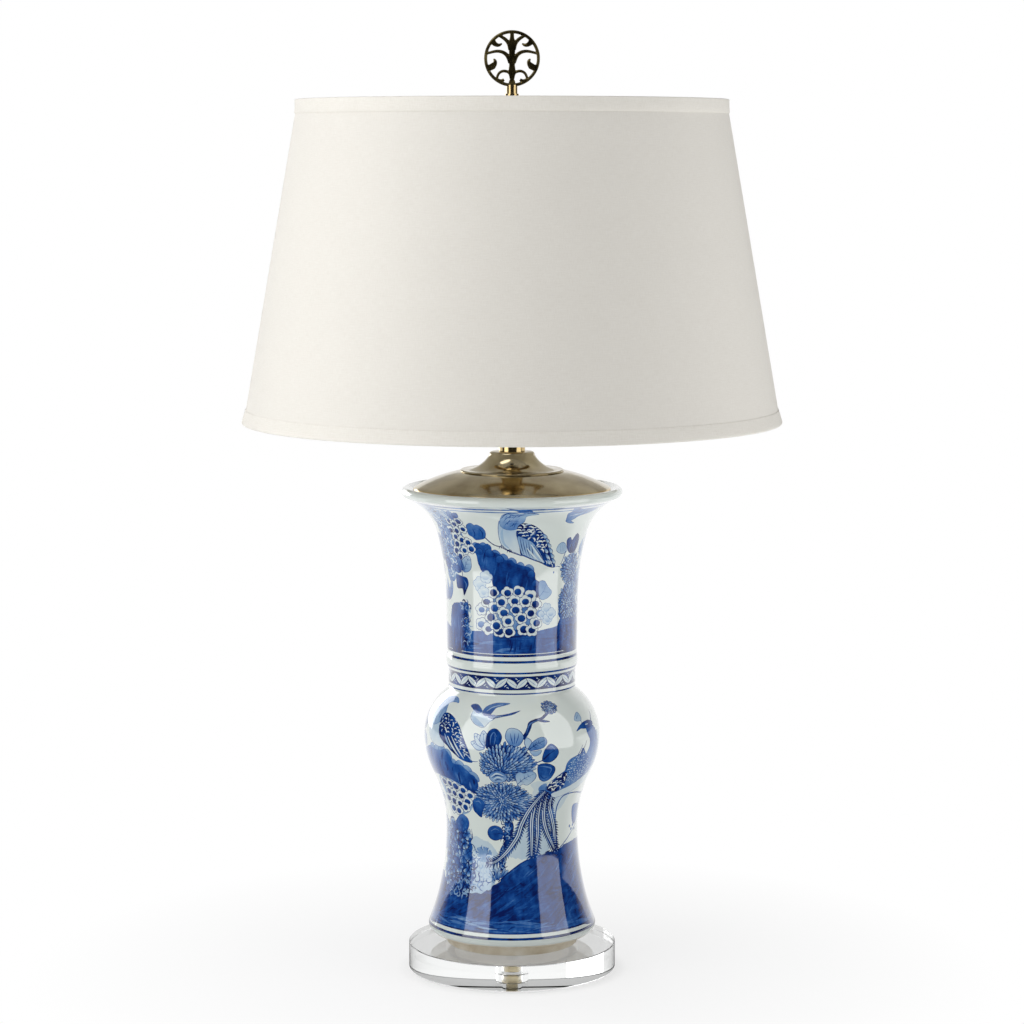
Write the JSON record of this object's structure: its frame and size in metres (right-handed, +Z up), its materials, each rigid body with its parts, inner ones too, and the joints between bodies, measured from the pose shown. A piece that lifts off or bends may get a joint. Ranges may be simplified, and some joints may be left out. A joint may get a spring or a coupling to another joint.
{
  "type": "table lamp",
  "caption": "Table lamp with a blue and white porcelain beaker vase on a clear disc, brass cap, harp and socket, tapered linen drum shade and pierced brass finial.",
  "frame": {"origin": "on the table under the lamp's axis, at the underside of the bumpers", "axes": "+Z up along the lamp's axis; the front, with the switch knob, faces -Y; the harp and the finial's medallion lie in the XZ plane"},
  "size_m": [0.4573, 0.4574, 0.8022],
  "materials": {
    "acrylic": "clear cast acrylic, polished",
    "clear_rubber": "clear soft bumpers",
    "steel": "zinc-plated steel",
    "porcelain": "pale glaze over cobalt blue painting, bare foot ring",
    "bushing": "black plastic",
    "satin_brass": "spun brass, satin antique finish",
    "bright_brass": "polished brass",
    "antique_brass": "dark antique brass, bright on its edges",
    "liner_card": "insulating fibre",
    "moulding": "black moulded resin",
    "aluminium": "thin rolled sheet",
    "bulb_insulator": "dark glass insulator",
    "bulb_glass": "clear glass",
    "linen": "off-white linen, matte",
    "shade_sheet": "white styrene sheet",
    "white_wire": "white coated wire"
  },
  "bodies": {
    "lamp_body": {"base_disc": "acrylic", "base_bumpers": "clear_rubber", "base_washer": "steel", "base_nut": "steel", "lamp_pipe": "steel", "vase": "porcelain", "cord_bushing": "bushing", "vase_cap": "satin_brass", "cap_collar": "satin_brass", "neck_tube": "bright_brass", "neck_ring": "bright_brass", "harp_saddle": "bright_brass", "saddle_nut": "bright_brass", "socket_cap": "bright_brass", "socket_set_screw": "steel", "socket_shell": "bright_brass", "socket_liner": "liner_card", "socket_core": "moulding", "socket_screw_shell": "aluminium", "socket_contact": "bright_brass", "terminal_screws": "bright_brass"},
    "switch": {"switch_shaft": "bright_brass", "switch_knob": "moulding"},
    "harp": {"harp_wire": "bright_brass", "harp_stud": "bright_brass"},
    "sleeve_right": {"harp_sleeve_right": "bright_brass"},
    "sleeve_left": {"harp_sleeve_left": "bright_brass"},
    "bulb": {"bulb_tip": "steel", "bulb_insulator": "bulb_insulator", "bulb_base": "aluminium", "bulb_glass": "bulb_glass", "bulb_stem": "bulb_glass", "bulb_filament": "steel"},
    "shade": {"shade_fabric": "linen", "shade_liner": "shade_sheet", "shade_top_trim": "linen", "shade_bottom_trim": "linen", "shade_top_ring": "white_wire", "shade_bottom_ring": "white_wire", "spider_arms": "bright_brass", "spider_washer": "bright_brass"},
    "finial": {"finial_base": "bright_brass", "finial_medallion": "antique_brass"}
  },
  "joints": [
    {"name": "switch_turn", "type": "hinge", "parent": "lamp_body", "child": "switch", "pos_m": [0, -0.025, 0.5136], "axis": [0, -1, 0], "continuous": true},
    {"name": "harp_lift", "type": "slide", "parent": "lamp_body", "child": "harp", "axis": [0, 0, 1], "range_m": [0, 0.03]},
    {"name": "sleeve_right_lift", "type": "slide", "parent": "harp", "child": "sleeve_right", "axis": [0, 0, 1], "range_m": [0, 0.012]},
    {"name": "sleeve_left_lift", "type": "slide", "parent": "harp", "child": "sleeve_left", "axis": [0, 0, 1], "range_m": [0, 0.012]},
    {"name": "bulb_lift", "type": "slide", "parent": "lamp_body", "child": "bulb", "axis": [0, 0, 1], "range_m": [0, 0.028]},
    {"name": "shade_lift", "type": "slide", "parent": "harp", "child": "shade", "axis": [0, 0, 1], "range_m": [0, 0.3]},
    {"name": "finial_lift", "type": "slide", "parent": "shade", "child": "finial", "axis": [0, 0, 1], "range_m": [0, 0.012]}
  ]
}
